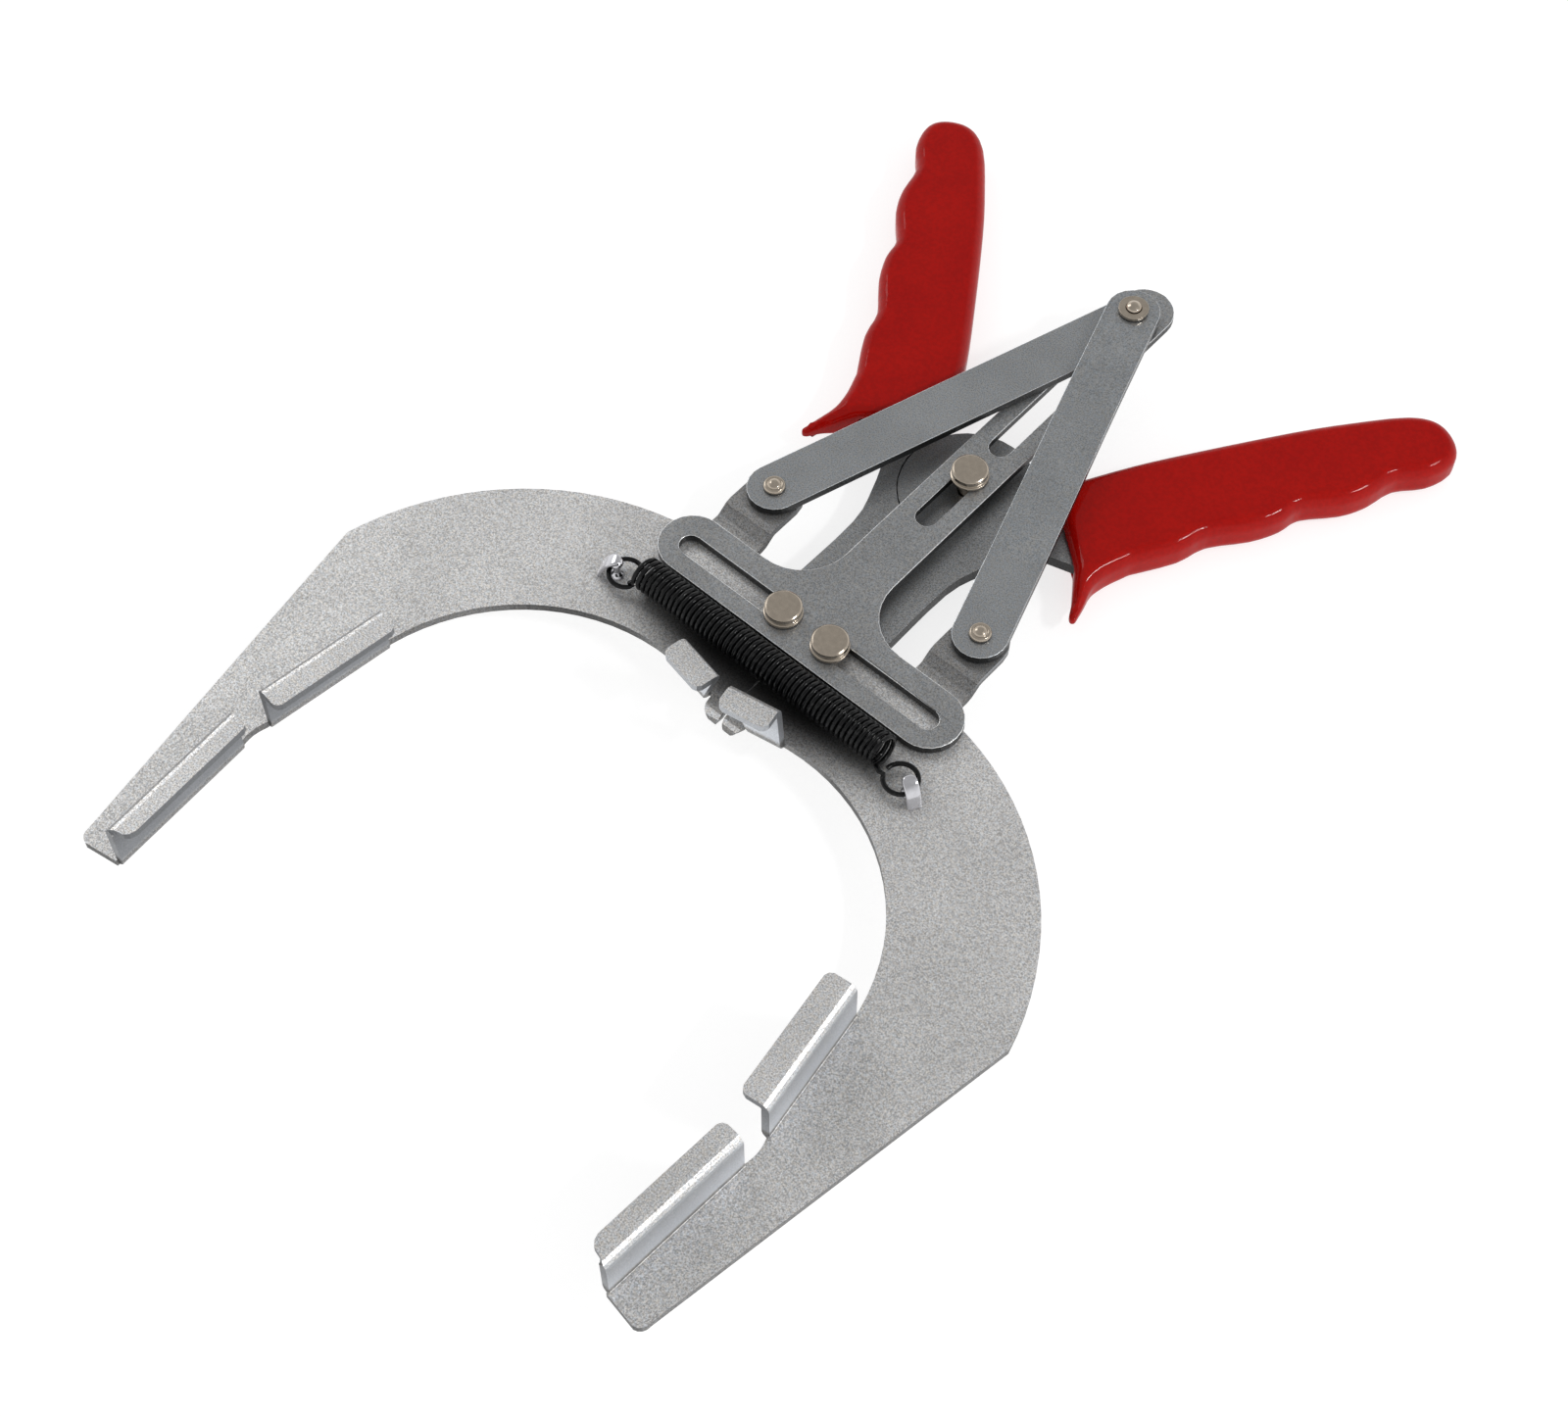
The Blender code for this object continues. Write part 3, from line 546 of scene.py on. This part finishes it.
def lugs(polished):
    """A polished skin over each jaw's spring lug, and the tongue beside it."""
    base = JAW_TOP - 0.2
    profile = [(0, 2.98), (0.85, 2.85), (1.35, 2.45), (1.5, 2.0), (1.3, 1.45), (0.85, 1.0),
               (0.78, 0.6), (0.78, -0.9), (1.35, -1.5), (1.6, -2.0), (1.6, base), (0, base)]
    for word, side in SIDES:
        spot = (side * LUG[0], LUG[1])
        turned(f"lug_{word}", spot, profile, polished, f"{word}_jaw", sides=40)
        hook(f"lug_hook_{word}", side, polished, f"{word}_jaw")


def coil_points():
    """The wire's middle line round all the coils, from left to right."""
    total = TURNS * 360 - LAST_COIL_SHORT
    count = round(total / 360 * STEPS_PER_TURN)
    points = []
    for step in range(count + 1):
        angle = math.radians(FIRST_COIL_ANGLE + total * step / count)
        x = SPRING_X[0] + (SPRING_X[1] - SPRING_X[0]) * step / count
        points.append((x, SPRING_Y + COIL_R * math.sin(angle), SPRING_Z + COIL_R * math.cos(angle)))
    return points


def ring_points(side):
    """The wire's middle line round a lug, from the coils outwards."""
    points = []
    for step in range(RING_STEPS + 1):
        angle = math.radians(RING_START + RING_SWEEP * step / RING_STEPS)
        x, y = on_circle(RING_CENTRE, RING_R, angle)
        points.append((side * x, y, RING_CENTRE[2]))
    return points


def wire_rings(path, radius, sides):
    """Circles of points square to the path, without twist."""
    points = [at(*point) for point in path]
    rings = []
    across = Vector((0.0, 0.0, 1.0))
    for index, point in enumerate(points):
        run = (points[min(index + 1, len(points) - 1)] - points[max(index - 1, 0)]).normalized()
        across = (across - run * across.dot(run)).normalized()
        other = run.cross(across)
        rings.append([point + radius * MM * (across * math.cos(angle) + other * math.sin(angle))
                      for angle in [2 * math.pi * step / sides for step in range(sides)]])
    return rings


def spring(wire):
    """The spring in four lengths, cut at the middle and either side of it, each baked where it stands."""
    path = ring_points(-1)[::-1] + [LEAD_LEFT] + coil_points() + [LEAD_RIGHT] + ring_points(1)
    rings = wire_rings(path, WIRE_R, WIRE_SIDES)
    cuts = [0]
    for limit in (-STRETCH_END, 0.0, STRETCH_END):
        cuts.append(next(index for index, point in enumerate(path) if point[0] > limit))
    cuts.append(len(path) - 1)
    lengths = (("spring_left_end", "left_stud", "left_jaw", -STRETCH_END, -SWING_END),
               ("spring_left_half", "guide", "left_stud", 0.0, -STRETCH_END),
               ("spring_right_half", "guide", "right_stud", 0.0, STRETCH_END),
               ("spring_right_end", "right_stud", "right_jaw", STRETCH_END, SWING_END))
    for (name, near, far, start, end), first, last in zip(lengths, cuts, cuts[1:]):
        verts = [vert for ring in rings[first:last + 1] for vert in ring]
        faces = tube_faces(last - first + 1, WIRE_SIDES)
        piece = add_piece(name, verts, faces, wire, None, crease=60)
        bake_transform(piece)
        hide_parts("spring")


def thin_guard(mesh, side):
    """Thins the grip's guard towards its tip, about the grip's middle height."""
    levels = [vert.co.z for vert in mesh.vertices]
    middle = (max(levels) + min(levels)) / 2
    tip = at(side * GUARD_TIP[0], GUARD_TIP[1], 0.0)
    for vert in mesh.vertices:
        away = math.hypot(vert.co.x - tip.x, vert.co.y - tip.y)
        share = min(away / (GUARD_REACH * MM), 1.0)
        keep = GUARD_KEEP + (1 - GUARD_KEEP) * share * share * (3 - 2 * share)
        vert.co.z = middle + (vert.co.z - middle) * keep


def moulded(name, cad_mesh):
    """A copy of the CAD mesh, remeshed finely and smoothed."""
    draft = bpy.data.objects.new(name, cad_mesh.copy())
    bpy.context.scene.collection.objects.link(draft)
    draft.modifiers.new("weld", "WELD").merge_threshold = WELD_REACH * MM
    remesh = draft.modifiers.new("remesh", "REMESH")
    remesh.mode = "VOXEL"
    remesh.voxel_size = VOXEL * MM
    smooth = draft.modifiers.new("smooth", "SMOOTH")
    smooth.factor = 0.5
    smooth.iterations = SMOOTHING_ROUNDS
    graph = bpy.context.evaluated_depsgraph_get()
    made = bpy.data.meshes.new_from_object(draft.evaluated_get(graph))
    bpy.data.objects.remove(draft)
    return made


def grips(vinyl):
    """The grips as soft moulded forms."""
    for word, side in SIDES:
        made = moulded(f"draft_{word}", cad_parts[f"grip_{word}"].data)
        thin_guard(made, side)
        made.name = f"grip_{word}_moulded"
        made.materials.clear()
        made.materials.append(vinyl)
        made.shade_smooth()
        piece = bpy.data.objects.new(made.name, made)
        bpy.context.scene.collection.objects.link(piece)
        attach(piece, f"{word}_lever")
        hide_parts(f"grip_{word}")


# ---- finishing the CAD sheets ---------------------------------------------------------------

def finish_sheet(name, surface, edge=0.25):
    """Welds the carried-over facets, rounds the sheared edges a little and sets the surface."""
    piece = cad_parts[name]
    piece.data.materials.clear()
    piece.data.materials.append(surface)
    piece.modifiers.new("weld", "WELD").merge_threshold = WELD_REACH * MM
    rounding = piece.modifiers.new("edge", "BEVEL")
    rounding.width = edge * MM
    rounding.segments = 2
    rounding.limit_method = "ANGLE"
    rounding.angle_limit = math.radians(40)
    rounding.harden_normals = True
    flats = piece.modifiers.new("flats", "WEIGHTED_NORMAL")
    flats.weight = 100
    flats.keep_sharp = True


def dress():
    """Finishes every sheet and washer, and adds the finer forms over the rest."""
    jaw_skin = jaw_zinc("zinc_plate", (0.68, 0.67, 0.665), grain=3000.0, contrast=0.5,
                        roughness=0.45)
    # The sheets below get painted highlights on their rims and painted shade on their sheared sides.
    satin = plated_zinc("satin_zinc", (0.335, 0.34, 0.345), grain=3300.0, contrast=0.45,
                        roughness=0.40, side_shade=0.1, rim_highlight=3.2)
    cool = plated_zinc("link_zinc", (0.335, 0.345, 0.355), grain=3300.0, contrast=0.42,
                       roughness=0.36, side_shade=0.12, rim_highlight=2.6)
    plain = plated_zinc("plain_steel", (0.5, 0.5, 0.51), grain=1500.0, contrast=0.1,
                        roughness=0.35, side_shade=0.7, rim_highlight=1.2)
    nickel = nickel_plate("nickel_plate", (0.46, 0.40, 0.33), roughness=0.2)
    polished = nickel_plate("polished_lug", (0.62, 0.62, 0.65), roughness=0.12)
    for word, _side in SIDES:
        finish_sheet(f"jaw_{word}", jaw_skin)
        finish_sheet(f"lever_{word}", satin)
        finish_sheet(f"link_{word}", cool)
        finish_sheet(f"stud_washer_{word}", plain, edge=0.1)
        finish_sheet(f"link_washer_{word}", plain, edge=0.1)
    finish_sheet("guide_plate", satin, edge=0.35)
    finish_sheet("pivot_washer", plain, edge=0.1)
    finish_sheet("apex_collar", nickel, edge=0.1)
    finish_sheet("apex_washer", plain, edge=0.1)
    studs(nickel)
    rivets(nickel)
    lugs(polished)
    spring(black_wire())
    grips(red_vinyl())


# ---- stage, light and camera ----------------------------------------------------------------

def stage_floor():
    """A wide sheet of white paper just under the tool."""
    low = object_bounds()[0][2] - FLOOR_GAP
    mesh = bpy.data.meshes.new("floor")
    corners = [(x * FLOOR_REACH, y * FLOOR_REACH, low)
               for x, y in ((-1, -1), (1, -1), (1, 1), (-1, 1))]
    mesh.from_pydata(corners, [], [(0, 1, 2, 3)])
    floor = bpy.data.objects.new("floor", mesh)
    bpy.context.scene.collection.objects.link(floor)
    pale = (0.4, 0.4, 0.4, 1.0)
    glow = (1.0, 1.0, 1.0, 1.0)
    paper = Surface("white_paper", Roughness=0.9, Base_Color=pale, Emission_Color=glow,
                    Emission_Strength=0.72)
    mesh.materials.append(paper.material)


def area_light(name, place, wide, high, power):
    """An oval soft light aimed at the world origin; lengths in metres, power in watts."""
    lamp = bpy.data.lights.new(name, "AREA")
    lamp.shape = "ELLIPSE"
    lamp.size = wide
    lamp.size_y = high
    lamp.energy = power
    holder = bpy.data.objects.new(name, lamp)
    holder.location = place
    holder.rotation_euler = (-Vector(place)).to_track_quat("-Z", "Y").to_euler()
    bpy.context.scene.collection.objects.link(holder)


def sky():
    """A world that is white at the horizon and grey overhead."""
    world = bpy.data.worlds.new("studio")
    world.use_nodes = True
    tree = world.node_tree
    split = tree.nodes.new("ShaderNodeSeparateXYZ")
    shades = tree.nodes.new("ShaderNodeValToRGB")
    around = tree.nodes.new("ShaderNodeTexCoord")
    tree.links.new(around.outputs["Generated"], split.inputs["Vector"])
    tree.links.new(split.outputs["Z"], shades.inputs["Fac"])
    tree.links.new(shades.outputs["Color"], tree.nodes["Background"].inputs["Color"])
    horizon, overhead = shades.color_ramp.elements
    horizon.position = 0.25
    horizon.color = (1.0, 1.0, 1.0, 1.0)
    overhead.position = 0.7
    overhead.color = (0.5, 0.5, 0.5, 1.0)
    tree.nodes["Background"].inputs["Strength"].default_value = 1.1
    bpy.context.scene.world = world


def studio():
    """The sky, a soft light from the left and a narrow one for the grips' highlights."""
    sky()
    bpy.context.scene.view_settings.view_transform = "Standard"
    area_light("key", (-0.95, 0.1, 0.75), wide=0.5, high=0.5, power=1.6)
    area_light("spark", (0.87, 0.25, 0.85), wide=0.34, high=0.08, power=4.2)


def camera():
    """The viewing angle: 58 degrees above the sheet, from the right of the jaw tips."""
    azimuth = math.radians(CAMERA_AZIMUTH)
    rise = math.radians(CAMERA_RISE)
    back = Vector((math.sin(azimuth) * math.cos(rise), -math.cos(azimuth) * math.cos(rise),
                   math.sin(rise)))
    right = Vector((math.cos(azimuth), math.sin(azimuth), 0.0))
    up = back.cross(right)
    lens = bpy.data.cameras.new("camera")
    lens.sensor_width = SENSOR
    lens.lens = LENS
    view = bpy.data.objects.new("camera", lens)
    turn = Matrix((right, up, back)).transposed().to_4x4()
    view.matrix_world = Matrix.Translation(at(*CAMERA_TARGET) + back * CAMERA_DISTANCE) @ turn
    bpy.context.scene.collection.objects.link(view)
    bpy.context.scene.camera = view


dress()
stage_floor()
studio()
camera()
